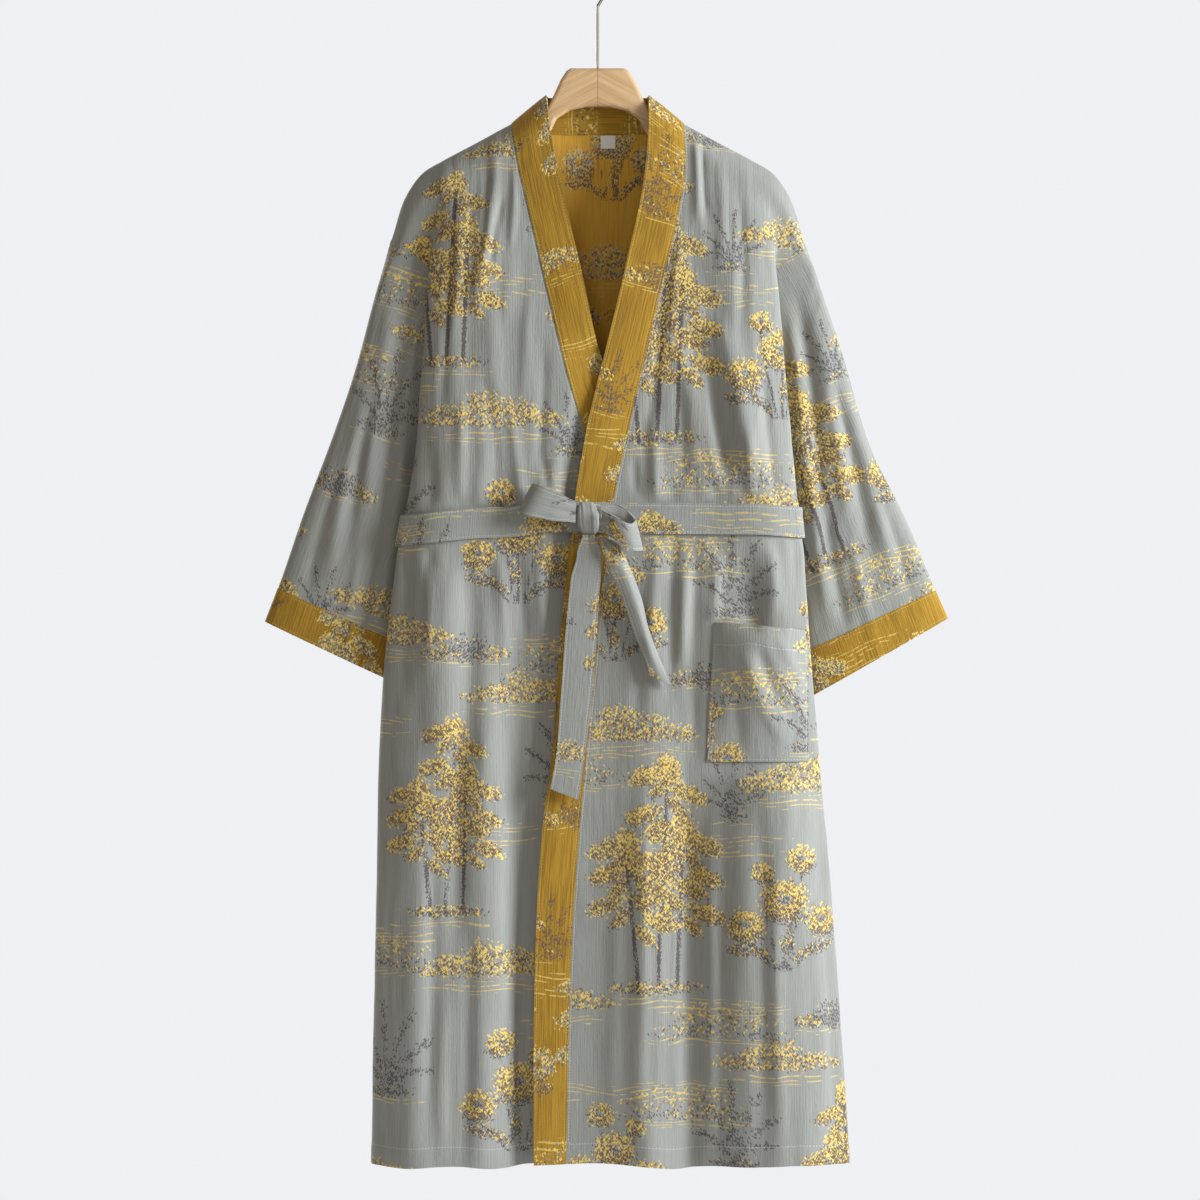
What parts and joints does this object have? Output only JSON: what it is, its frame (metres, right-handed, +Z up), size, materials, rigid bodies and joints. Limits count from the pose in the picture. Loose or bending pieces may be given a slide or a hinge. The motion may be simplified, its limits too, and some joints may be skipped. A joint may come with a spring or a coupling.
{
  "type": "kimono robe on a hanger",
  "caption": "Long kimono-style robe with band collar, drop-shoulder sleeves, patch pocket and tied belt, hung flat on a wooden hanger.",
  "frame": {"origin": "inside top of the hook's bend, where the hanger hangs on a rail", "axes": "+Z up along the length of the robe, the robe's front faces -Y, its thin direction is Y"},
  "size_m": [0.7676, 0.1194, 1.3502],
  "materials": {
    "robe_cloth": "grey-blue jacquard cotton gauze, soft crinkle",
    "band_cloth": "mustard jacquard cotton gauze, fine streaks",
    "label_cloth": "plain white woven label, blank",
    "wood": "clear satin lacquer",
    "steel": "bright drawn wire"
  },
  "bodies": {
    "root": {"front_left": "robe_cloth", "front_right": "robe_cloth", "back": "robe_cloth", "sleeve_left": "robe_cloth", "sleeve_right": "robe_cloth", "cuff_left": "band_cloth", "cuff_right": "band_cloth", "collar_left": "band_cloth", "collar_right": "band_cloth", "pocket": "robe_cloth", "belt_waist": "robe_cloth", "belt_knot": "robe_cloth", "belt_loop_left": "robe_cloth", "belt_loop_right": "robe_cloth", "belt_tail_long": "robe_cloth", "belt_tail_short": "robe_cloth", "neck_label": "label_cloth", "hanger": "wood", "hanger_hook": "steel"}
  },
  "joints": []
}
